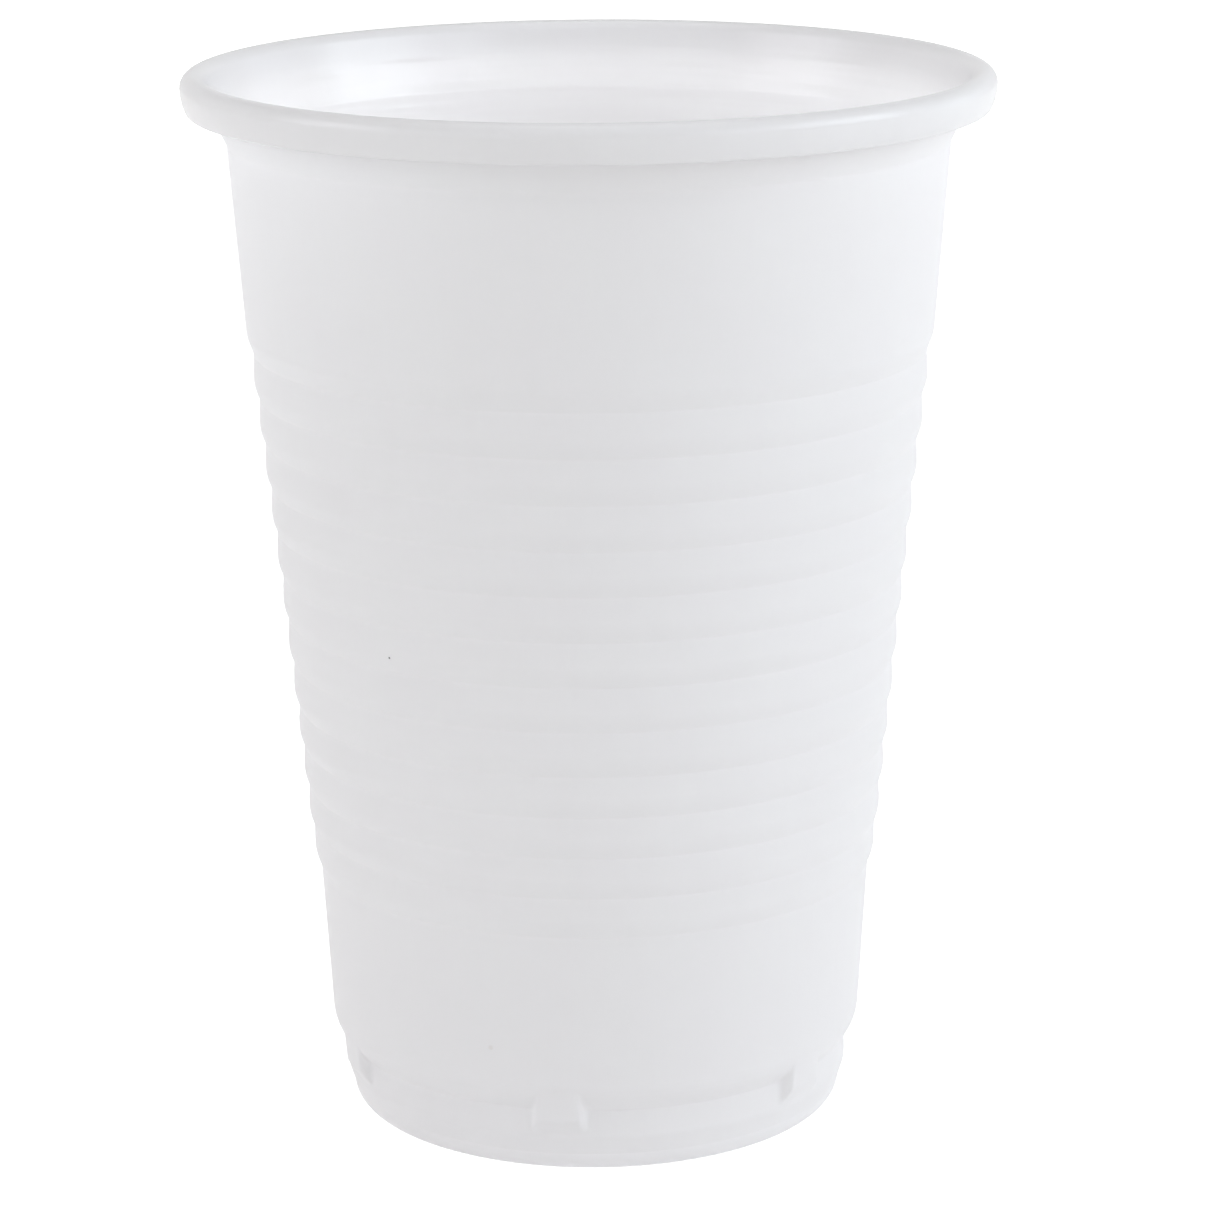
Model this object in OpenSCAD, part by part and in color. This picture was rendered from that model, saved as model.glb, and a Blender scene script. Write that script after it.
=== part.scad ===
// Ribbed drinking cup of thin white plastic, thermoformed in one piece with a rolled rim.
// The sheet is drawn as one line, the wall's outer face, from the middle of the base up to
// the curled edge of the rim, and is given its thickness on the inner side of that line.
// The origin is at the middle of the ring that the cup stands on, +Z is up, and sizes are in mm.

/* [Overall] */
// Outside diameter over the rolled rim
rim_d = 70.3; // [66:0.1:80]
// Height from the table to the top of the rim
cup_h = 93.0; // [91:0.1:110]
// Thickness of the formed sheet
wall = 0.25; // [0.15:0.01:0.4]

/* [Rolled rim] */
// Width of the roll, measured outwards from the drinking edge
rim_w = 2.36; // [2:0.02:3.2]
// Radius of the roll's outer side, seen in section
rim_side_r = 4.5; // [3:0.1:8]
// Lean of the roll's outer side at its lower end
rim_side_lean = 25; // [10:1:35]
// Radius of the tight turn at the roll's lower edge
rim_curl_r = 0.45; // [0.4:0.05:0.9]
// Length of the sheet's edge that is turned in under the roll
rim_tuck = 0.5; // [0.2:0.05:0.9]

/* [Neck] */
// Drop from the top of the rim to the crease where the wall begins
neck_drop = 6.0; // [5:0.1:8]
// Distance from the rim's outside in to the wall's outside at that crease
neck_in = 3.88; // [3.4:0.02:4.6]
// Height of the first, wider flare above the crease
flare_h = 1.0; // [0.8:0.1:2]
// Radius gained by that flare
flare_out = 0.5; // [0.3:0.02:0.7]
// Radius of the crease
crease_round = 0.6; // [0.3:0.1:1.5]

/* [Plain upper wall] */
// Height of the plain wall under the crease
upper_wall_h = 16.7; // [8:0.1:18]
// Taper of that wall, in degrees from upright
upper_draft = 4.45; // [1:0.05:7]

/* [Ribs] */
// Height of the shoulder from the plain wall down to the first groove
rib_shoulder_h = 1.56; // [1:0.02:3]
// Radius lost over that shoulder
rib_shoulder_in = 0.57; // [0.3:0.01:1]
// Radius of the bend at the top of that shoulder
rib_shoulder_r = 2.0; // [0.5:0.1:5]
// Number of taller ribs, at the top
tall_ribs = 8; // [1:1:9]
// Height of a taller rib
tall_pitch = 3.97; // [3:0.01:4.3]
// Number of shorter ribs, below them
short_ribs = 4; // [1:1:5]
// Height of a shorter rib
short_pitch = 3.67; // [2.8:0.01:4]
// Taper from the first groove to the middle one, in degrees
upper_rib_draft = 5.87; // [2:0.01:8]
// Taper from the middle groove to the lowest one, in degrees
lower_rib_draft = 5.43; // [2:0.01:8]
// Radius lost over the lowest rib, which runs into the lower wall
last_rib_in = 0.53; // [0.2:0.01:0.9]
// How far a rib's crest stands out from the line between its grooves
rib_crest = 0.35; // [0.1:0.01:0.6]
// Where the crest lies, as a share of the rib's height below its upper groove
rib_crest_at = 0.68; // [0.4:0.01:0.75]
// Radius of the rounded crest
rib_round = 3.0; // [1:0.1:8]
// Radius in the bottom of a groove
groove_round = 0.2; // [0.1:0.02:0.5]

/* [Lower wall and stacking shoulder] */
// Taper of the plain lower wall, in degrees
lower_draft = 3.5; // [1:0.05:7]
// Height of the lower wall's end, where the stacking shoulder begins
shoulder_top_h = 8.1; // [7.4:0.1:10]
// Radius lost from there to the foot groove
shoulder_in = 1.2; // [0.8:0.02:1.6]
// How far the shoulder's bend stands out from the straight line
shoulder_bulge = 0.16; // [0.05:0.01:0.4]
// Where that bend lies, as a share of the shoulder's height from its top
shoulder_bulge_at = 0.44; // [0.3:0.01:0.7]
// Radius of the bends of the shoulder
shoulder_r = 3.7; // [1:0.1:8]

/* [Foot] */
// Height of the foot groove, under the stacking shoulder
foot_groove_h = 6.0; // [5.4:0.1:6.7]
// Height of the groove under the foot's bead
bead_low_h = 1.8; // [1.6:0.05:2.6]
// Radius lost between these two grooves
bead_in = 0.5; // [0.1:0.01:0.6]
// How far the bead's crest stands out from the line between them
bead_crest = 0.34; // [0.1:0.01:0.5]
// Where the crest lies, as a share of the height below the foot groove
bead_crest_at = 0.6; // [0.4:0.01:0.75]
// Radius of the bead's crest
bead_round = 0.9; // [0.4:0.1:2]
// Radius of the turn from the foot's side to the ring that the cup stands on
foot_round = 1.75; // [1:0.05:2]
// Width of the flat of that ring
stand_w = 0.8; // [0.5:0.05:1.2]

/* [Base] */
// Width of the slope from that ring up to the step in the base
step_in = 2.15; // [1.5:0.05:4]
// Height of the step above the table, on its underside
step_h = 1.5; // [1:0.1:1.7]
// Width of the step
step_w = 3.4; // [1.5:0.1:6]
// Width of the slope from the step up to the raised panel
panel_slope = 0.6; // [0.3:0.1:1.2]
// Height of the raised panel above the table, on its underside
panel_h = 2.2; // [1.9:0.1:3]
// Radius of the bends in the base
base_round = 0.6; // [0.3:0.05:0.8]
// Radius at the inner edge of the ring that the cup stands on
stand_round = 0.3; // [0.2:0.05:0.5]

/* [Stacking lugs] */
// Number of lugs round the stacking shoulder
lugs = 6; // [3:1:10]
// Width of a lug at its lower edge
lug_w = 3.8; // [2.5:0.1:6]
// Turn of the first lug from the front, counter-clockwise seen from above
lug_turn = -8.0; // [-30:0.5:30]
// Height where a lug's face runs into the wall
lug_top_h = 7.8; // [7:0.1:9]
// Height of a lug's lower edge
lug_edge_h = 5.1; // [4.3:0.05:5.2]
// How far a lug's lower edge stands out from the foot groove
lug_out = 0.81; // [0.5:0.01:1]
// Height where the slope under a lug's edge runs into the foot
lug_low_h = 3.9; // [3.3:0.05:4]
// Slope of a lug's two ends, away from straight outwards
lug_draft = 30; // [10:1:45]

/* [Hidden] */

// A bend is drawn in steps of this many degrees
bend_step = 7;
// Roundings that meet on one stretch take up this share of it at the most
bend_share = 0.98;
// A rounding that would take less than this from its stretches is left a plain corner
least_bend = 0.005;
// Fineness of whole circles
$fn = 180;
// Steps in which the three arcs of the rolled rim are drawn
roll_steps = 20;
side_steps = 5;
curl_steps = 6;
// How far the cuts behind the lugs reach into the cup
cut_depth = 2.5;
// How far the wedges that bound the lugs run past them
past = 1;

// Radii and heights, from the rim down
rim_top_r = rim_w / 2;
rim_mid_r = rim_d / 2 - rim_top_r;
rim_mid_z = cup_h - rim_top_r;
crease = [rim_d / 2 - neck_in, cup_h - neck_drop];
flare_top = crease + [flare_out, flare_h];
upper_wall_end = crease - upper_wall_h * [tan(upper_draft), 1];
first_groove = upper_wall_end - [rib_shoulder_in, rib_shoulder_h];
ribs = tall_ribs + short_ribs;
middle = floor(ribs / 2);
shoulder_top = [
    groove(ribs)[0] - (groove(ribs)[1] - shoulder_top_h) * tan(lower_draft),
    shoulder_top_h
];
foot_groove = [shoulder_top[0] - shoulder_in, foot_groove_h];
bead_low = [foot_groove[0] - bead_in, bead_low_h];
stand_r = bead_low[0] - foot_round;
step_r = stand_r - stand_w - step_in;
panel_r = step_r - step_w - panel_slope;
lug_edge = [foot_groove[0] + lug_out, lug_edge_h];

function unit(v) = v / norm(v);
function left_of(v) = [-v[1], v[0]];
function turn_between(a, b) = atan2(a[0] * b[1] - a[1] * b[0], a * b);
function polar(r, a) = r * [cos(a), sin(a)];
function flip(list) = [for (i = [len(list) - 1 : -1 : 0]) list[i]];

// Corners are [r, z, radius]. This is the straight step from one to the next.
function step(corners, i) =
    [corners[i + 1][0] - corners[i][0], corners[i + 1][1] - corners[i][1]];

// Length that the rounding of corner i takes from the straight stretch on each side of it
function need(corners, i) =
    i == 0 || i == len(corners) - 1 ? 0 :
    corners[i][2] * tan(abs(turn_between(step(corners, i - 1), step(corners, i))) / 2);

// Two roundings that meet on one stretch share it in proportion to what they need
function fitted(own, other, stretch) =
    own == 0 ? 0 : min(own, bend_share * stretch * own / (own + other));

// The points of the rounding of corner i
function bend(corners, i) =
    let (
        here = [corners[i][0], corners[i][1]],
        from = step(corners, i - 1),
        to = step(corners, i),
        turn = turn_between(from, to),
        own = need(corners, i),
        tangent = min(
            fitted(own, need(corners, i - 1), norm(from)),
            fitted(own, need(corners, i + 1), norm(to))
        )
    )
    tangent < least_bend ? [here] :
    let (
        radius = tangent / tan(abs(turn) / 2),
        side = turn > 0 ? 1 : -1,
        centre = here - tangent * unit(from) + side * radius * left_of(unit(from)),
        first = atan2(-side * left_of(from)[1], -side * left_of(from)[0]),
        steps = max(2, ceil(abs(turn) / bend_step))
    )
    [for (i = [0 : steps]) centre + polar(radius, first + turn * i / steps)];

function rounded(corners) = [
    for (i = [0 : len(corners) - 1])
        each (i == 0 || i == len(corners) - 1)
            ? [[corners[i][0], corners[i][1]]]
            : bend(corners, i)
];

// The same line moved to its left by the sheet's thickness
function moved_left(line, by) = [
    for (i = [0 : len(line) - 1])
        let (
            last = len(line) - 1,
            a = left_of(unit(line[max(i, 1)] - line[max(i, 1) - 1])),
            b = left_of(unit(line[min(i, last - 1) + 1] - line[min(i, last - 1)]))
        )
        line[i] + by * (a + b) / (1 + a * b)
];

// Point between two grooves where a rib's crest would come to a corner
function crest(upper, lower, out, at) =
    upper + at * (lower - upper) + out * left_of(unit(lower - upper));

// Grooves from the first, at the top, to the lowest, and then the end of the lowest rib
function groove_z(i) =
    first_groove[1] - min(i, tall_ribs) * tall_pitch - max(i - tall_ribs, 0) * short_pitch;
function groove_r(i) =
    i == ribs ? groove_r(ribs - 1) - last_rib_in :
    first_groove[0]
        - (first_groove[1] - groove_z(min(i, middle))) * tan(upper_rib_draft)
        - (groove_z(min(i, middle)) - groove_z(i)) * tan(lower_rib_draft);
function groove(i) = [groove_r(i), groove_z(i)];

// Underside of the base, from the middle out to the ring that the cup stands on
base_corners = [
    [0, panel_h],
    [panel_r, panel_h, base_round],
    [panel_r + panel_slope, step_h, base_round],
    [step_r, step_h, base_round],
    [stand_r - stand_w, 0, stand_round],
];

// Foot, with its bead, and the stacking shoulder
bead = crest(foot_groove, bead_low, bead_crest, bead_crest_at);
shoulder_bend = crest(shoulder_top, foot_groove, shoulder_bulge, shoulder_bulge_at);
foot_corners = [
    [bead_low[0], 0, foot_round],
    [bead_low[0], bead_low[1], groove_round],
    [bead[0], bead[1], bead_round],
    [foot_groove[0], foot_groove[1], groove_round],
    [shoulder_bend[0], shoulder_bend[1], shoulder_r],
    [shoulder_top[0], shoulder_top[1], shoulder_r],
];

// Ribs, from the lowest up
rib_corners = [
    for (i = [ribs : -1 : 0])
        each i == 0
            ? [[groove(0)[0], groove(0)[1], groove_round]]
            : let (c = crest(groove(i - 1), groove(i), rib_crest, rib_crest_at))
              [[groove(i)[0], groove(i)[1], groove_round], [c[0], c[1], rib_round]]
];

// Plain upper wall and the two flares of the neck
wall_corners = [
    [upper_wall_end[0], upper_wall_end[1], rib_shoulder_r],
    [crease[0], crease[1], crease_round],
];

// Rolled rim, along the sheet's hidden side: over the top, down the outside and in at the bottom
inner_r = rim_top_r - wall;
to_roll = [rim_mid_r, rim_mid_z] - flare_top;
neck_lean = atan2(to_roll[0], to_roll[1]) - asin(inner_r / norm(to_roll));
side_end = [rim_d / 2 - rim_side_r, rim_mid_z] + polar(rim_side_r - wall, -rim_side_lean);
curl_mid = side_end - polar(rim_curl_r - wall, -rim_side_lean);
rim_line = [
    for (i = [0 : roll_steps])
        [rim_mid_r, rim_mid_z] + polar(inner_r, (180 - neck_lean) * (1 - i / roll_steps)),
    for (i = [1 : side_steps])
        [rim_d / 2 - rim_side_r, rim_mid_z]
            + polar(rim_side_r - wall, -rim_side_lean * i / side_steps),
    for (i = [1 : curl_steps])
        curl_mid
            + polar(rim_curl_r - wall, -rim_side_lean - (90 - rim_side_lean) * i / curl_steps),
    curl_mid + [-rim_tuck, wall - rim_curl_r],
];

outer_line = concat(
    rounded(concat(base_corners, foot_corners, rib_corners, wall_corners, [flare_top])),
    rim_line
);
inner_line = moved_left(outer_line, wall);

// Outside radii of the sheet by height, from the foot to the ribs, and the sheet's middle at a height
foot_radii = [for (p = outer_line) if (p[0] > stand_r && p[1] < first_groove[1]) [p[1], p[0]]];
function sheet_middle(z) = [lookup(z, foot_radii) - wall / 2, z];

// Outer face of a lug in section, from its lower end up, and its hollow side. Both ends of the
// face lie inside the sheet, and both ends of the hollow side lie inside the cup.
lug_face = [sheet_middle(lug_low_h), lug_edge, sheet_middle(lug_top_h)];
lug_back = moved_left(lug_face, wall);

// The middle of the sheet along the lugs, where they are joined to it
lug_joint = [
    for (p = moved_left(outer_line, wall / 2))
        if (p[0] > stand_r && p[1] > lug_low_h && p[1] < lug_top_h) p
];

// One lug's section, or that of the hollow behind it
module lug_section(hollow) {
    inside_r = lug_edge[0] - cut_depth;
    if (hollow)
        polygon(concat(lug_back, [[inside_r, lug_back[2][1]], [inside_r, lug_back[0][1]]]));
    else
        polygon(concat(lug_face, flip(lug_joint)));
}

// All the lugs, or the hollows behind them
module lug_ring(hollow) {
    end_r = lug_edge[0] - cut_depth - past;
    face_r = lug_edge[0] + past;
    half_edge = lug_w / 2 - (hollow ? wall / cos(lug_draft) : 0);
    half_face = half_edge - (face_r - lug_edge[0]) * tan(lug_draft);
    half_end = half_edge + (lug_edge[0] - end_r) * tan(lug_draft);
    intersection() {
        rotate_extrude() lug_section(hollow);
        for (i = [0 : lugs - 1])
            rotate([0, 0, lug_turn - 90 + i * 360 / lugs])
            linear_extrude(height = lug_top_h + past)
            polygon([[end_r, -half_end], [face_r, -half_face], [face_r, half_face], [end_r, half_end]]);
    }
}

module cup() {
    color([0.93, 0.93, 0.94])
    difference() {
        union() {
            rotate_extrude() polygon(concat(outer_line, flip(inner_line)));
            lug_ring(false);
        }
        lug_ring(true);
    }
}

cup();
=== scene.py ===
"""Looks of a ribbed plastic drinking cup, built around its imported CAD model.

The cup is one thermoformed sheet, so it is one lathe-turned mesh: the sheet's line is drawn in
section with smooth bends, turned round the cup's axis, and pushed outwards at the stacking lugs.
Sizes in the classes are in millimetres, as in the CAD source, and meshes are in metres.
"""

from __future__ import annotations

import logging
import math
from dataclasses import dataclass, field
from enum import Enum

import bpy
import numpy as np
from mathutils import Matrix, Vector, noise


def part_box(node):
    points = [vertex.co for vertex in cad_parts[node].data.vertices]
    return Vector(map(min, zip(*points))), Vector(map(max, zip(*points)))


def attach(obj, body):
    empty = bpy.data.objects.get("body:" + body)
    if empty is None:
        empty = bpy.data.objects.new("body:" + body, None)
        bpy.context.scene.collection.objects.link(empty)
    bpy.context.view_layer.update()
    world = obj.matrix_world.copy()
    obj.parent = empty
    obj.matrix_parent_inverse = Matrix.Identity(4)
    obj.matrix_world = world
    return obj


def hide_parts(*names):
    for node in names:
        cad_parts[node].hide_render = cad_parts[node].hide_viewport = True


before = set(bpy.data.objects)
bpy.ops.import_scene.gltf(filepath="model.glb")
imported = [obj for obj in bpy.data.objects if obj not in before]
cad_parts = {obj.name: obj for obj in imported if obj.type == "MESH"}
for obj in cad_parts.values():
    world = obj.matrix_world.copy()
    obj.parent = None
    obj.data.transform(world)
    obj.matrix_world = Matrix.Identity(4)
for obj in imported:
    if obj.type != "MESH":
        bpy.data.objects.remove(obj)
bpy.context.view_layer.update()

LOG = logging.getLogger("cup")
MM = 0.001
# Bends that meet on one straight stretch take up this share of it at the most
BEND_SHARE = 0.98
# Mesh attribute: 1 where the sheet touched no mould, which is its inner face and the rolled rim
FREE_FACE = "free_face"
WHITE = "#FFFFFF"
# Direction of the camera's side of the cup, in degrees round the axis from +X
FRONT = -90.0


def linear(hex_colour: str) -> tuple[float, float, float, float]:
    """Turn an sRGB hex colour into the linear colour that a shader takes.

    Args:
        hex_colour: Six hex digits after a hash sign.

    Returns:
        Linear red, green and blue, and an alpha of 1.
    """
    channels = [int(hex_colour[i : i + 2], 16) / 255 for i in (1, 3, 5)]
    red, green, blue = (
        c / 12.92 if c <= 0.04045 else ((c + 0.055) / 1.055) ** 2.4 for c in channels
    )
    return red, green, blue, 1.0


def add_node(
    tree: bpy.types.NodeTree,
    kind: str,
    settings: dict[str, object] | None = None,
    inputs: dict[str | int, object] | None = None,
) -> bpy.types.Node:
    """Add a node with its settings and inputs.

    Args:
        tree: The node tree that takes the node.
        kind: The node's type name.
        settings: Properties of the node and their values.
        inputs: Input sockets, by name or number, and what each gets: a value, or an output
            socket that is linked to it.

    Returns:
        The new node.
    """
    node = tree.nodes.new(kind)
    for name, value in (settings or {}).items():
        setattr(node, name, value)
    for socket, value in (inputs or {}).items():
        if isinstance(value, bpy.types.NodeSocket):
            tree.links.new(value, node.inputs[socket])
        else:
            node.inputs[socket].default_value = value
    return node


def new_material(name: str) -> bpy.types.Material:
    """Make an empty node material of that name."""
    material = bpy.data.materials.new(name)
    material.use_nodes = True
    material.node_tree.nodes.clear()
    return material


class Side(Enum):
    """The two faces of the sheet."""

    OUTSIDE = "outside"
    INSIDE = "inside"


@dataclass(frozen=True)
class Corner:
    """A corner of the sheet's line in section, with the radius of its bend."""

    r: float
    z: float
    bend: float = 0.0

    @property
    def point(self) -> np.ndarray:
        """The corner's place as an array."""
        return np.array([self.r, self.z])


def unit(v: np.ndarray) -> np.ndarray:
    """The vector at length 1."""
    return v / np.linalg.norm(v)


def left_of(v: np.ndarray) -> np.ndarray:
    """The vector turned a quarter to its left."""
    return np.array([-v[1], v[0]])


def polar(radius: float, degrees: float) -> np.ndarray:
    """A step of that length in that direction."""
    angle = math.radians(degrees)
    return radius * np.array([math.cos(angle), math.sin(angle)])


def tan_deg(degrees: float) -> float:
    """The tangent of an angle in degrees."""
    return math.tan(math.radians(degrees))


def turn_between(a: np.ndarray, b: np.ndarray) -> float:
    """How far b is turned from a, in degrees, positive to the left."""
    return math.degrees(math.atan2(a[0] * b[1] - a[1] * b[0], float(a @ b)))


def crest(upper: np.ndarray, lower: np.ndarray, out: float, share: float) -> np.ndarray:
    """The point that stands out between two grooves.

    Args:
        upper: The upper groove.
        lower: The lower groove.
        out: Distance out from the straight line between them.
        share: Place along that line, from the upper groove.

    Returns:
        Radius and height of the point.
    """
    step = lower - upper
    return upper + share * step + out * left_of(unit(step))


def rounded(corners: list[Corner], degrees_per_step: float) -> list[np.ndarray]:
    """Round every corner between the first and the last.

    Args:
        corners: The line's corners in order.
        degrees_per_step: How far the line turns from one point of a bend to the next.

    Returns:
        The points of the rounded line.
    """
    points = [c.point for c in corners]
    steps = [b - a for a, b in zip(points, points[1:])]
    turns = [0.0] + [turn_between(a, b) for a, b in zip(steps, steps[1:])] + [0.0]
    needs = [c.bend * tan_deg(abs(t) / 2) for c, t in zip(corners, turns)]
    line = [points[0]]
    for i in range(1, len(corners) - 1):
        if needs[i] == 0:
            line.append(points[i])
            continue
        shares = [
            BEND_SHARE * np.linalg.norm(step) * needs[i] / (needs[i] + other)
            for step, other in ((steps[i - 1], needs[i - 1]), (steps[i], needs[i + 1]))
        ]
        tangent = min(needs[i], *shares)
        radius = tangent / tan_deg(abs(turns[i]) / 2)
        side = math.copysign(1.0, turns[i])
        along = unit(steps[i - 1])
        centre = points[i] - tangent * along + side * radius * left_of(along)
        start = -side * left_of(along)
        first = math.degrees(math.atan2(start[1], start[0]))
        count = max(2, math.ceil(abs(turns[i]) / degrees_per_step))
        line += [centre + polar(radius, first + turns[i] * k / count) for k in range(count + 1)]
    line.append(points[-1])
    return line


@dataclass(frozen=True)
class SheetLine:
    """The sheet in section, from the middle of the base to the tucked edge of the rim."""

    rim_d: float
    cup_h: float
    wall: float = 0.25

    rim_w: float = 2.36
    rim_side_r: float = 4.5
    rim_side_lean: float = 25.0
    rim_curl_r: float = 0.45
    rim_tuck: float = 0.5

    neck_drop: float = 6.0
    neck_in: float = 3.88
    flare_h: float = 1.0
    flare_out: float = 0.5
    crease_round: float = 0.6

    upper_wall_h: float = 16.7
    upper_draft: float = 4.45

    rib_shoulder_h: float = 1.56
    rib_shoulder_in: float = 0.57
    rib_shoulder_r: float = 2.0
    tall_ribs: int = 8
    tall_pitch: float = 3.97
    short_ribs: int = 4
    short_pitch: float = 3.67
    upper_rib_draft: float = 5.87
    lower_rib_draft: float = 5.43
    last_rib_in: float = 0.53
    rib_crest: float = 0.35
    rib_crest_at: float = 0.68
    rib_round: float = 3.0
    groove_round: float = 0.2

    lower_draft: float = 3.5
    shoulder_top_h: float = 8.1
    shoulder_in: float = 1.2
    shoulder_bulge: float = 0.16
    shoulder_bulge_at: float = 0.44
    shoulder_r: float = 3.7

    foot_groove_h: float = 6.0
    bead_low_h: float = 1.8
    bead_in: float = 0.5
    bead_crest: float = 0.34
    bead_crest_at: float = 0.6
    bead_round: float = 0.9
    foot_round: float = 1.75
    stand_w: float = 0.8

    step_in: float = 2.15
    step_h: float = 1.5
    step_w: float = 3.4
    panel_slope: float = 0.6
    panel_h: float = 2.2
    base_round: float = 0.6
    stand_round: float = 0.3

    # The mesh is finest at the foot, where the lugs push it out, and a little over the shoulder
    degrees_per_step: float = 10.0
    foot_row: float = 0.28
    foot_rows_over: float = 1.0
    wall_row: float = 3.2

    @property
    def crease(self) -> np.ndarray:
        """The crease where the wall begins under the neck."""
        return np.array([self.rim_d / 2 - self.neck_in, self.cup_h - self.neck_drop])

    @property
    def upper_wall_end(self) -> np.ndarray:
        """The lower end of the plain upper wall."""
        return self.crease - self.upper_wall_h * np.array([tan_deg(self.upper_draft), 1])

    @property
    def ribs(self) -> int:
        """Number of ribs."""
        return self.tall_ribs + self.short_ribs

    def groove(self, i: int) -> np.ndarray:
        """A groove's place: 0 is the highest, and one past the lowest is the lower wall's top."""
        first = self.upper_wall_end - np.array([self.rib_shoulder_in, self.rib_shoulder_h])

        def drop(k: int) -> float:
            """Drop from the highest groove to groove k."""
            tall = min(k, self.tall_ribs)
            return tall * self.tall_pitch + (k - tall) * self.short_pitch

        k = min(i, self.ribs - 1)
        middle = min(k, self.ribs // 2)
        radius = (
            first[0]
            - drop(middle) * tan_deg(self.upper_rib_draft)
            - (drop(k) - drop(middle)) * tan_deg(self.lower_rib_draft)
            - (self.last_rib_in if i == self.ribs else 0)
        )
        return np.array([radius, first[1] - drop(i)])

    @property
    def shoulder_top(self) -> np.ndarray:
        """The lower end of the lower wall."""
        wall_top = self.groove(self.ribs)
        drop = wall_top[1] - self.shoulder_top_h
        return wall_top - drop * np.array([tan_deg(self.lower_draft), 1])

    @property
    def foot_groove(self) -> np.ndarray:
        """The groove under the stacking shoulder."""
        return np.array([self.shoulder_top[0] - self.shoulder_in, self.foot_groove_h])

    @property
    def stand_r(self) -> float:
        """Outer radius of the ring that the cup stands on."""
        return self.foot_groove[0] - self.bead_in - self.foot_round

    def corners(self) -> list[Corner]:
        """All the corners, from the middle of the base up to the neck."""
        step_r = self.stand_r - self.stand_w - self.step_in
        panel_r = step_r - self.step_w - self.panel_slope
        bead_low = np.array([self.foot_groove[0] - self.bead_in, self.bead_low_h])
        bead = crest(self.foot_groove, bead_low, self.bead_crest, self.bead_crest_at)
        bulge = crest(
            self.shoulder_top, self.foot_groove, self.shoulder_bulge, self.shoulder_bulge_at
        )
        line = [
            Corner(0, self.panel_h),
            Corner(panel_r, self.panel_h, self.base_round),
            Corner(panel_r + self.panel_slope, self.step_h, self.base_round),
            Corner(step_r, self.step_h, self.base_round),
            Corner(self.stand_r - self.stand_w, 0, self.stand_round),
            Corner(bead_low[0], 0, self.foot_round),
            Corner(*bead_low, self.groove_round),
            Corner(*bead, self.bead_round),
            Corner(*self.foot_groove, self.groove_round),
            Corner(*bulge, self.shoulder_r),
            Corner(*self.shoulder_top, self.shoulder_r),
        ]
        for i in range(self.ribs, 0, -1):
            line.append(Corner(*self.groove(i), self.groove_round))
            out = crest(self.groove(i - 1), self.groove(i), self.rib_crest, self.rib_crest_at)
            line.append(Corner(*out, self.rib_round))
        line += [
            Corner(*self.groove(0), self.groove_round),
            Corner(*self.upper_wall_end, self.rib_shoulder_r),
            Corner(*self.crease, self.crease_round),
            Corner(*self.flare_top),
        ]
        return line

    @property
    def flare_top(self) -> np.ndarray:
        """The upper end of the wider flare in the neck."""
        return self.crease + np.array([self.flare_out, self.flare_h])

    def roll(self) -> list[np.ndarray]:
        """The rolled rim's hidden face: over the top, down the outside and in at the bottom."""
        top_r = self.rim_w / 2
        hidden_r = top_r - self.wall
        middle = np.array([self.rim_d / 2 - top_r, self.cup_h - top_r])
        reach = middle - self.flare_top
        lean = math.degrees(
            math.atan2(reach[0], reach[1]) - math.asin(hidden_r / np.linalg.norm(reach))
        )
        side_middle = np.array([self.rim_d / 2 - self.rim_side_r, middle[1]])
        side_r = self.rim_side_r - self.wall
        curl_r = self.rim_curl_r - self.wall
        curl_middle = side_middle + polar(side_r - curl_r, -self.rim_side_lean)
        arcs = [
            (middle, hidden_r, 180 - lean, 0.0),
            (side_middle, side_r, 0.0, -self.rim_side_lean),
            (curl_middle, curl_r, -self.rim_side_lean, -90.0),
        ]
        line: list[np.ndarray] = []
        for centre, radius, start, end in arcs:
            count = max(3, math.ceil(abs(end - start) / self.degrees_per_step))
            first = 0 if not line else 1
            line += [
                centre + polar(radius, start + (end - start) * k / count)
                for k in range(first, count + 1)
            ]
        line.append(line[-1] - np.array([self.rim_tuck, 0]))
        return line

    def with_rows(self, line: list[np.ndarray]) -> list[np.ndarray]:
        """Put more points on the straight stretches, for the lugs and the wall's slight waves."""
        dense = [line[0]]
        for a, b in zip(line, line[1:]):
            low_enough = max(a[1], b[1]) < self.shoulder_top_h + self.foot_rows_over
            at_foot = low_enough and min(a[0], b[0]) > self.stand_r
            row = self.foot_row if at_foot else self.wall_row
            count = max(1, math.ceil(np.linalg.norm(b - a) / row))
            dense += [a + (b - a) * k / count for k in range(1, count + 1)]
        return dense

    def faces(self) -> dict[Side, np.ndarray]:
        """Both faces of the sheet as lines of radius and height, from the base to the rim."""
        line = rounded(self.corners(), self.degrees_per_step)
        outside = np.array(self.with_rows(line + self.roll()))
        return {Side.OUTSIDE: outside, Side.INSIDE: moved_left(outside, self.wall)}


def moved_left(line: np.ndarray, by: float) -> np.ndarray:
    """Move a line to its left.

    Args:
        line: Points of the line, one to a row.
        by: Distance from each stretch of the line to the moved one.

    Returns:
        The moved points.
    """
    steps = np.diff(line, axis=0)
    steps /= np.linalg.norm(steps, axis=1, keepdims=True)
    normals = np.stack([-steps[:, 1], steps[:, 0]], axis=1)
    before = np.vstack([normals[:1], normals])
    after = np.vstack([normals, normals[-1:]])
    share = 1 + np.sum(before * after, axis=1, keepdims=True)
    return line + by * (before + after) / share


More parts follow.
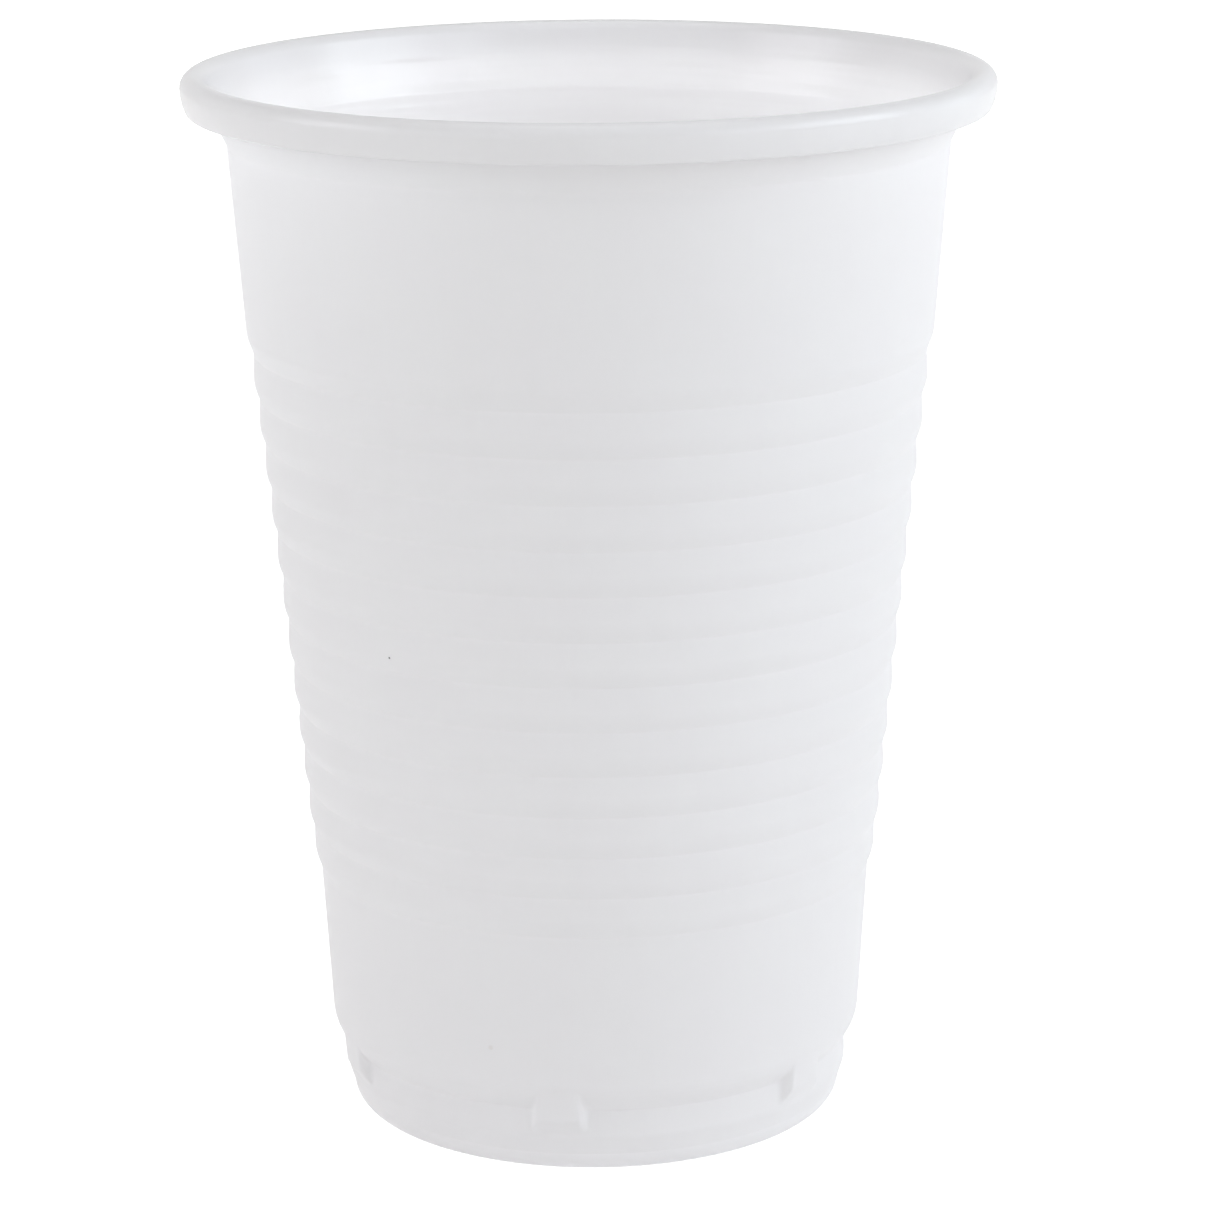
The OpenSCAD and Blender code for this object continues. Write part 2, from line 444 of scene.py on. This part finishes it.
@dataclass(frozen=True)
class StackingLugs:
    """Hollow lugs that stand out over the foot groove and keep stacked cups apart."""

    count: int = 6
    width: float = 3.8
    turn: float = -8.0
    top_h: float = 7.8
    edge_h: float = 5.1
    out: float = 0.81
    low_h: float = 3.9
    draft: float = 30.0
    # Formed plastic has no sharp edges: its corners are eased over this distance
    easing: float = 0.22

    # Columns of the mesh, in degrees from a lug's middle, close together at its sloping ends
    columns: tuple[float, ...] = (0, 1.6, 3.1, 3.9, 4.3, 4.65, 5.0, 5.4, 5.9, 6.5, 7.6)
    plain_column: float = 2.8
    # How far over a lug's top the wall is followed to find where the lug meets it
    wall_over: float = 2.0

    def angles(self) -> np.ndarray:
        """Directions of the mesh's columns round the axis, in degrees from +X."""
        half = 180 / self.count
        last = self.columns[-1]
        plain = math.ceil((half - last) / self.plain_column)
        side = list(self.columns) + [last + (half - last) * k / plain for k in range(1, plain)]
        sector = [-a for a in side[:0:-1]] + side + [half]
        middles = [self.turn + FRONT + k * 360 / self.count for k in range(self.count)]
        return np.array([m + a for m in middles for a in sector])

    def pushed(
        self, sheet: SheetLine, line: np.ndarray, angles: np.ndarray, side: Side
    ) -> np.ndarray:
        """Push one face of the sheet out where the lugs are.

        Args:
            sheet: The sheet's sizes.
            line: That face's radii and heights.
            angles: Directions of the mesh's columns.
            side: Which face it is.

        Returns:
            The radius of each row of the line in each column.
        """
        foot = sheet.foot_groove
        body = line[(line[:, 0] > sheet.stand_r) & (line[:, 1] < self.top_h + self.wall_over)]
        gap = 0.0 if side is Side.OUTSIDE else sheet.wall
        edge = np.array([foot[0] + self.out, self.edge_h])
        ends = [
            np.array([np.interp(z, body[:, 1], body[:, 0]), z]) for z in (self.low_h, self.top_h)
        ]
        face = moved_left(np.array([ends[0], edge, ends[1]]), gap)
        if side is Side.INSIDE:
            face[0], face[2] = ends[0], ends[1]
        heights = line[:, 1]
        reach = np.interp(heights, face[:, 1], face[:, 0])
        reach[(heights < self.low_h) | (heights > self.top_h) | (line[:, 0] < sheet.stand_r)] = 0
        spacing = 360 / self.count
        around = angles - self.turn - FRONT
        away = np.radians(np.abs(around - np.round(around / spacing) * spacing))
        slope = tan_deg(self.draft)
        half = self.width / 2 - gap / math.cos(math.radians(self.draft))
        end = (half + edge[0] * slope) / (np.sin(away) + np.cos(away) * slope)
        lug = soft_min(reach[:, None], end[None, :], self.easing)
        lug = np.where(reach[:, None] > 0, lug, 0)
        plain = np.broadcast_to(line[:, :1], lug.shape)
        return np.where(lug > plain - self.easing, soft_max(lug, plain, self.easing), plain)


def soft_min(a: np.ndarray, b: np.ndarray, width: float) -> np.ndarray:
    """The smaller of two values, eased over the given width where they cross."""
    near = np.clip(width - np.abs(a - b), 0, None)
    return np.minimum(a, b) - near**2 / (4 * width)


def soft_max(a: np.ndarray, b: np.ndarray, width: float) -> np.ndarray:
    """The larger of two values, eased over the given width where they cross."""
    return -soft_min(-a, -b, width)


@dataclass(frozen=True)
class MouldWaves:
    """Slight waves in the thin wall, which a formed sheet gets as it cools and shrinks."""

    depth: float = 0.035
    length: float = 11.0
    height: float = 16.0
    # The rim and the foot are stiff and stay true, and the waves come up over as much again
    rim_zone: float = 12.0
    foot_zone: float = 9.0

    def offsets(self, sheet: SheetLine, line: np.ndarray, angles: np.ndarray) -> np.ndarray:
        """How far each point of a face is moved out, by row and column."""
        fade = np.interp(
            line[:, 1],
            [
                self.foot_zone,
                2 * self.foot_zone,
                sheet.cup_h - 2 * self.rim_zone,
                sheet.cup_h - self.rim_zone,
            ],
            [0, 1, 1, 0],
        )
        result = np.zeros((len(line), len(angles)))
        for j, angle in enumerate(np.radians(angles)):
            for i, (_, z) in enumerate(line):
                if fade[i] > 0:
                    spot = (
                        sheet.crease[0] * math.cos(angle) / self.length,
                        sheet.crease[0] * math.sin(angle) / self.length,
                        z / self.height,
                    )
                    result[i, j] = self.depth * fade[i] * noise.noise(spot)
        return result


@dataclass(frozen=True)
class Speck:
    """A small speck in the sheet: degrees round from the camera's side, and height."""

    azimuth: float
    height: float
    r: float
    colour: str


@dataclass(frozen=True)
class FormedPolystyrene:
    """White high-impact polystyrene sheet, thermoformed.

    The pigment spreads light inside the thin sheet and lets nearly half of it through, so the
    eye sees soft shading and a bright inside. The outer face took a satin gloss from the mould,
    and the inner face and the rolled rim, which no mould touched, are glossier.
    """

    name: str = "white_polystyrene_thermoformed"
    colour: str = "#FAFAFA"
    thin_colour: str = "#F8F7F8"
    # Share of the light that the pigment passes on at a face instead of sending it back: less
    # in the rim, where the sheet stayed thick, and more where it was drawn thin
    through_thick: float = 0.42
    through_thin: float = 0.46
    thick_above: float = 92.0
    thin_below: float = 89.0
    # Polystyrene's usual index of refraction
    ior: float = 1.59
    mould_face: float = 0.42
    free_face: float = 0.20
    # How much the roughness differs from place to place
    uneven: float = 0.05
    # The pigment is uneven over some millimetres, by very little
    cloud: float = 7.0
    cloud_detail: float = 2.0
    # Fine upright streaks, where the hot sheet was drawn down into the mould
    streak_w: float = 0.8
    streak_l: float = 11.0
    streak_depth: float = 0.006
    streak_detail: float = 2.0
    # Chill rings inside the mouth, where the plug first touched the sheet: how far apart, how
    # long before they fade, how deep, from which height up and within which radius
    ring_gap: float = 1.3
    ring_length: float = 16.0
    ring_depth: float = 0.28
    ring_detail: float = 1.0
    ring_low: float = 81.0
    ring_out: float = 33.0
    # How far they take to come up or fade out
    ring_fade: float = 0.9
    # A speck is darkest inside this share of its radius
    speck_core: float = 0.4

    def rings(self, tree: bpy.types.NodeTree, place: bpy.types.NodeSocket) -> bpy.types.NodeSocket:
        """Heights of the chill rings, as long flat streaks round the cup.

        Args:
            tree: The material's node tree.
            place: The place on the cup.

        Returns:
            A value from 0 to 1.
        """
        share = self.ring_gap / self.ring_length
        flat = add_node(
            tree, "ShaderNodeMapping", inputs={"Vector": place, "Scale": (share, share, 1)}
        )
        return add_node(
            tree,
            "ShaderNodeTexNoise",
            inputs={
                "Vector": flat.outputs["Vector"],
                "Scale": 1 / (self.ring_gap * MM),
                "Detail": self.ring_detail,
            },
        ).outputs["Fac"]

    def ring_zone(
        self,
        tree: bpy.types.NodeTree,
        place: bpy.types.NodeSocket,
        height: bpy.types.NodeSocket,
        free_face: bpy.types.NodeSocket,
    ) -> bpy.types.NodeSocket:
        """Where the chill rings are: 1 inside the mouth, fading to 0 elsewhere.

        Args:
            tree: The material's node tree.
            place: The place on the cup.
            height: Height on the cup, in metres.
            free_face: 1 on the face that touched no mould.

        Returns:
            A value from 0 to 1.
        """
        flat = add_node(
            tree, "ShaderNodeVectorMath", {"operation": "MULTIPLY"}, {0: place, 1: (1, 1, 0)}
        )
        radius = add_node(
            tree, "ShaderNodeVectorMath", {"operation": "LENGTH"}, {0: flat.outputs["Vector"]}
        )
        zone = free_face
        for value, start, end in (
            (height, self.ring_low, self.ring_low + self.ring_fade),
            (radius.outputs["Value"], self.ring_out, self.ring_out - self.ring_fade),
        ):
            fade = add_node(
                tree,
                "ShaderNodeMapRange",
                {"interpolation_type": "SMOOTHSTEP"},
                {"Value": value, "From Min": start * MM, "From Max": end * MM},
            )
            zone = add_node(
                tree,
                "ShaderNodeMath",
                {"operation": "MULTIPLY"},
                {0: zone, 1: fade.outputs["Result"]},
            ).outputs[0]
        return zone

    def make(self, specks: list[tuple[Vector, Speck]]) -> bpy.types.Material:
        """Build the material.

        Args:
            specks: The specks in the sheet, each with its place in metres.

        Returns:
            The material.
        """
        material = new_material(self.name)
        tree = material.node_tree
        place = add_node(tree, "ShaderNodeTexCoord").outputs["Object"]
        height = add_node(tree, "ShaderNodeSeparateXYZ", inputs={"Vector": place}).outputs["Z"]
        clouds = add_node(
            tree,
            "ShaderNodeTexNoise",
            inputs={
                "Vector": place,
                "Scale": 1 / (self.cloud * MM),
                "Detail": self.cloud_detail,
            },
        )
        drawn = add_node(
            tree,
            "ShaderNodeMapping",
            inputs={"Vector": place, "Scale": (1, 1, self.streak_w / self.streak_l)},
        )
        streaks = add_node(
            tree,
            "ShaderNodeTexNoise",
            inputs={
                "Vector": drawn.outputs["Vector"],
                "Scale": 1 / (self.streak_w * MM),
                "Detail": self.streak_detail,
            },
        )
        thickness = add_node(
            tree,
            "ShaderNodeMath",
            {"operation": "MULTIPLY"},
            {0: clouds.outputs["Fac"], 1: streaks.outputs["Fac"]},
        )
        colour = add_node(
            tree,
            "ShaderNodeMix",
            {"data_type": "RGBA"},
            {
                "Factor": thickness.outputs[0],
                "A": linear(self.thin_colour),
                "B": linear(self.colour),
            },
        ).outputs["Result"]
        for spot, speck in specks:
            distance = add_node(
                tree,
                "ShaderNodeVectorMath",
                {"operation": "DISTANCE"},
                {0: place, 1: spot},
            )
            edge = add_node(
                tree,
                "ShaderNodeMapRange",
                {"interpolation_type": "SMOOTHSTEP"},
                {
                    "Value": distance.outputs["Value"],
                    "From Min": self.speck_core * speck.r * MM,
                    "From Max": speck.r * MM,
                    "To Min": 1.0,
                    "To Max": 0.0,
                },
            )
            colour = add_node(
                tree,
                "ShaderNodeMix",
                {"data_type": "RGBA"},
                {
                    "Factor": edge.outputs["Result"],
                    "A": colour,
                    "B": linear(speck.colour),
                },
            ).outputs["Result"]
        free = add_node(tree, "ShaderNodeAttribute", {"attribute_name": FREE_FACE})
        face = add_node(
            tree,
            "ShaderNodeMapRange",
            inputs={
                "Value": free.outputs["Fac"],
                "To Min": self.mould_face,
                "To Max": self.free_face,
            },
        )
        gloss = add_node(
            tree,
            "ShaderNodeMath",
            {"operation": "MULTIPLY_ADD"},
            {0: clouds.outputs["Fac"], 1: self.uneven, 2: face.outputs["Result"]},
        )
        bump = add_node(
            tree,
            "ShaderNodeBump",
            inputs={
                "Distance": self.streak_depth * MM,
                "Height": streaks.outputs["Fac"],
            },
        )
        bump = add_node(
            tree,
            "ShaderNodeBump",
            inputs={
                "Strength": self.ring_zone(tree, place, height, free.outputs["Fac"]),
                "Distance": self.ring_depth * MM,
                "Height": self.rings(tree, place),
                "Normal": bump.outputs["Normal"],
            },
        )
        shader = add_node(
            tree,
            "ShaderNodeBsdfPrincipled",
            inputs={
                "Base Color": colour,
                "Roughness": gloss.outputs[0],
                "IOR": self.ior,
                "Normal": bump.outputs["Normal"],
            },
        )
        through = add_node(
            tree,
            "ShaderNodeMapRange",
            inputs={
                "Value": height,
                "From Min": self.thin_below * MM,
                "From Max": self.thick_above * MM,
                "To Min": self.through_thin,
                "To Max": self.through_thick,
            },
        )
        passed_on = add_node(tree, "ShaderNodeBsdfTranslucent", inputs={"Color": colour})
        sheet = add_node(
            tree,
            "ShaderNodeMixShader",
            inputs={
                0: through.outputs["Result"],
                1: shader.outputs["BSDF"],
                2: passed_on.outputs["BSDF"],
            },
        )
        add_node(tree, "ShaderNodeOutputMaterial", inputs={"Surface": sheet.outputs[0]})
        return material


@dataclass
class Cup:
    """The whole cup: one sheet, with its finish."""

    node: str = "cup"
    slot: str = "shell"
    body: str = "root"
    lugs: StackingLugs = field(default_factory=StackingLugs)
    waves: MouldWaves = field(default_factory=MouldWaves)
    finish: FormedPolystyrene = field(default_factory=FormedPolystyrene)
    specks: tuple[Speck, ...] = (
        Speck(-38.5, 46.2, 0.13, "#5A5A5E"),
        Speck(-22.0, 11.7, 0.30, "#F1EFEE"),
    )

    def sheet(self) -> SheetLine:
        """The sheet's sizes, of which the mouth and the height come from the frame."""
        low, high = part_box(self.node)
        return SheetLine(rim_d=(high.x - low.x) / MM, cup_h=(high.z - low.z) / MM)

    def points(self, sheet: SheetLine, side: Side, line: np.ndarray) -> np.ndarray:
        """Places of one face's mesh points, by row and column, in metres."""
        angles = self.lugs.angles()
        radii = self.lugs.pushed(sheet, line, angles, side)
        radii = radii + self.waves.offsets(sheet, line, angles)
        around = np.radians(angles)
        heights = np.broadcast_to(line[:, 1:], radii.shape)
        return np.stack([radii * np.cos(around), radii * np.sin(around), heights], axis=2) * MM

    def mesh(self, sheet: SheetLine) -> bpy.types.Mesh:
        """Build the closed sheet: outside up to the rim's edge, and inside back to the base."""
        lines = sheet.faces()
        outside, inside = lines[Side.OUTSIDE], lines[Side.INSIDE]
        grids = [
            self.points(sheet, Side.OUTSIDE, outside[1:]),
            self.points(sheet, Side.INSIDE, inside[1:])[::-1],
        ]
        grid = np.concatenate(grids)
        rows, columns = grid.shape[:2]
        vertices = grid.reshape(-1, 3)
        poles = [(0, 0, outside[0][1] * MM), (0, 0, inside[0][1] * MM)]
        vertices = np.vstack([vertices, poles])
        under, over = rows * columns, rows * columns + 1
        faces: list[tuple[int, ...]] = []
        for j in range(columns):
            k = (j + 1) % columns
            faces.append((under, k, j))
            faces.append((over, (rows - 1) * columns + j, (rows - 1) * columns + k))
            for i in range(rows - 1):
                a, b = i * columns, (i + 1) * columns
                faces.append((a + j, a + k, b + k, b + j))
        mesh = bpy.data.meshes.new("cup_sheet")
        mesh.from_pydata(vertices.tolist(), [], faces)
        mesh.shade_smooth()
        inner = np.arange(rows) >= len(outside) - 1
        free = np.append(np.repeat(inner.astype(float), columns), (0.0, 1.0))
        mesh.attributes.new(FREE_FACE, "FLOAT", "POINT").data.foreach_set("value", free)
        return mesh

    def place_on_wall(self, sheet: SheetLine, speck: Speck) -> Vector:
        """The place of a speck on the outer face, in metres."""
        line = sheet.faces()[Side.OUTSIDE]
        wall = line[(line[:, 0] > sheet.stand_r) & (line[:, 1] < sheet.crease[1])]
        radius = np.interp(speck.height, wall[:, 1], wall[:, 0])
        angle = math.radians(speck.azimuth + FRONT)
        return Vector((radius * math.cos(angle), radius * math.sin(angle), speck.height)) * MM

    def build(self) -> bpy.types.Object:
        """Build the cup, dress it and hang it on the frame."""
        sheet = self.sheet()
        piece = bpy.data.objects.new("cup_sheet", self.mesh(sheet))
        bpy.context.scene.collection.objects.link(piece)
        even = piece.modifiers.new("even_normals", "WEIGHTED_NORMAL")
        even.keep_sharp = True
        specks = [(self.place_on_wall(sheet, speck), speck) for speck in self.specks]
        material = self.finish.make(specks)
        piece.data.materials.append(material)
        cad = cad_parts[self.node]
        cad.data.materials.clear()
        cad.data.materials.append(material)
        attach(piece, self.body)
        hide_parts(self.node)
        LOG.info(
            "%s: %d faces, mouth %.1f mm, height %.1f mm",
            piece.name,
            len(piece.data.polygons),
            sheet.rim_d,
            sheet.cup_h,
        )
        return piece


@dataclass(frozen=True)
class SoftLight:
    """A square soft box that faces the cup."""

    name: str
    # Degrees round the cup from the camera's side, positive to the right, and up from the floor
    azimuth: float
    elevation: float
    watts: float
    colour: str = WHITE
    # Side of the box, its distance and the height that it faces, in metres
    size: float = 0.40
    distance: float = 0.75
    aim_h: float = 0.045

    def build(self) -> bpy.types.Object:
        """Make the lamp."""
        lamp = bpy.data.lights.new(self.name, "AREA")
        lamp.shape = "SQUARE"
        lamp.size = self.size
        lamp.energy = self.watts
        lamp.color = linear(self.colour)[:3]
        light = bpy.data.objects.new(self.name, lamp)
        around, up = math.radians(self.azimuth + FRONT), math.radians(self.elevation)
        aim = Vector((0, 0, self.aim_h))
        direction = Vector(
            (math.cos(around) * math.cos(up), math.sin(around) * math.cos(up), math.sin(up))
        )
        light.location = aim + self.distance * direction
        light.rotation_euler = direction.to_track_quat("Z", "Y").to_euler()
        bpy.context.scene.collection.objects.link(light)
        LOG.info("%s: %.2f W", self.name, self.watts)
        return light


@dataclass(frozen=True)
class Camera:
    """The photograph's viewpoint, from a fit to the rim, the grooves and the base."""

    across: float = 1.525
    back: float = 374.1
    up: float = 141.9
    pitch: float = 14.57
    roll: float = -0.398
    lens: float = 128.33
    film: float = 36.0
    # Nearest and farthest distance that it sees, in metres
    near: float = 0.01
    far: float = 20.0

    def build(self) -> bpy.types.Object:
        """Make the camera and give it to the scene."""
        data = bpy.data.cameras.new("camera")
        data.sensor_fit = "HORIZONTAL"
        data.sensor_width = self.film
        data.lens = self.lens
        data.clip_start = self.near
        data.clip_end = self.far
        camera = bpy.data.objects.new("camera", data)
        bpy.context.scene.collection.objects.link(camera)
        look = Matrix.Rotation(math.radians(90 - self.pitch), 4, "X")
        lean = Matrix.Rotation(math.radians(self.roll), 4, "Z")
        place = Matrix.Translation(Vector((self.across, -self.back, self.up)) * MM)
        camera.matrix_world = place @ look @ lean
        bpy.context.scene.camera = camera
        return camera


@dataclass
class Studio:
    """White floor, white surround and soft lamps."""

    # Half the side of the floor, in metres
    floor_half: float = 1.5
    floor_colour: str = "#EAEAEA"
    # Light that the floor sends to the camera on top of what falls on it, so that it is white
    floor_lift: float = 0.90
    surround_colour: str = "#FFFEF2"
    surround_level: float = 0.385
    # The white backdrop reaches up to the first of these heights, as the sine of an elevation,
    # and the room is dim above the second
    backdrop_top: float = 0.2
    ceiling_from: float = 0.6
    ceiling_level: float = 0.35
    lights: tuple[SoftLight, ...] = (
        SoftLight("top_front", 0, 60, 0.32, "#EEF2FF"),
        SoftLight("top_back", 180, 80, 0.62, "#F8FAFF"),
        SoftLight("right_front", 50, 25, 0.84, "#F2F1FF"),
        SoftLight("right", 80, 25, 2.03, "#EFF9FF"),
        SoftLight("right_back", 120, 5, 0.37, "#E4F0FF"),
        SoftLight("left_front", -35, 25, 0.42, "#ECF8FF"),
        SoftLight("left", -75, 25, 1.40, "#F9F8FF"),
        SoftLight("left_back", -120, 5, 0.06),
    )

    def seen_share(self, tree: bpy.types.NodeTree) -> bpy.types.NodeSocket:
        """1 for a ray from the camera, a gloss or a clear body, and 0 for any other."""
        path = add_node(tree, "ShaderNodeLightPath")
        seen = path.outputs["Is Camera Ray"]
        for name in ("Is Glossy Ray", "Is Transmission Ray"):
            seen = add_node(
                tree,
                "ShaderNodeMath",
                {"operation": "MAXIMUM"},
                {0: seen, 1: path.outputs[name]},
            ).outputs[0]
        return seen

    def surround(self) -> None:
        """Make the world: plain white where it is seen, and an even soft light on the cup."""
        world = bpy.data.worlds.new("white_surround")
        world.use_nodes = True
        tree = world.node_tree
        tree.nodes.clear()
        seen = self.seen_share(tree)
        light = add_node(
            tree,
            "ShaderNodeBackground",
            inputs={"Color": linear(self.surround_colour), "Strength": self.surround_level},
        )
        direction = add_node(tree, "ShaderNodeTexCoord").outputs["Generated"]
        up = add_node(tree, "ShaderNodeSeparateXYZ", inputs={"Vector": direction}).outputs["Z"]
        level = add_node(
            tree,
            "ShaderNodeMapRange",
            {"interpolation_type": "SMOOTHSTEP"},
            {
                "Value": up,
                "From Min": self.backdrop_top,
                "From Max": self.ceiling_from,
                "To Min": 1.0,
                "To Max": self.ceiling_level,
            },
        )
        white = add_node(
            tree,
            "ShaderNodeBackground",
            inputs={"Color": linear(WHITE), "Strength": level.outputs["Result"]},
        )
        mix = add_node(
            tree,
            "ShaderNodeMixShader",
            inputs={0: seen, 1: light.outputs[0], 2: white.outputs[0]},
        )
        add_node(tree, "ShaderNodeOutputWorld", inputs={"Surface": mix.outputs[0]})
        bpy.context.scene.world = world

    def floor(self) -> bpy.types.Object:
        """Make the floor, white to the camera, with the cup's shadow very faint on it."""
        half = self.floor_half
        corners = [(-half, -half, 0), (half, -half, 0), (half, half, 0), (-half, half, 0)]
        mesh = bpy.data.meshes.new("floor")
        mesh.from_pydata(corners, [], [(0, 1, 2, 3)])
        floor = bpy.data.objects.new("floor", mesh)
        bpy.context.scene.collection.objects.link(floor)
        material = new_material("matt_white_paper_floor")
        tree = material.node_tree
        paper = add_node(
            tree,
            "ShaderNodeBsdfDiffuse",
            inputs={"Color": linear(self.floor_colour)},
        )
        lift = add_node(
            tree,
            "ShaderNodeEmission",
            inputs={"Color": linear(WHITE), "Strength": self.floor_lift},
        )
        both = add_node(
            tree, "ShaderNodeAddShader", inputs={0: paper.outputs[0], 1: lift.outputs[0]}
        )
        mix = add_node(
            tree,
            "ShaderNodeMixShader",
            inputs={0: self.seen_share(tree), 1: paper.outputs[0], 2: both.outputs[0]},
        )
        add_node(tree, "ShaderNodeOutputMaterial", inputs={"Surface": mix.outputs[0]})
        mesh.materials.append(material)
        return floor

    def build(self) -> None:
        """Make the floor, the surround and the lamps, and set plain colours."""
        self.surround()
        self.floor()
        for light in self.lights:
            light.build()
        bpy.context.scene.view_settings.view_transform = "Standard"


def main() -> None:
    """Build the camera, the cup and the studio, in that order."""
    logging.basicConfig(level=logging.INFO, format="%(name)s: %(message)s")
    Camera().build()
    Cup().build()
    Studio().build()


if __name__ == "__main__":
    main()
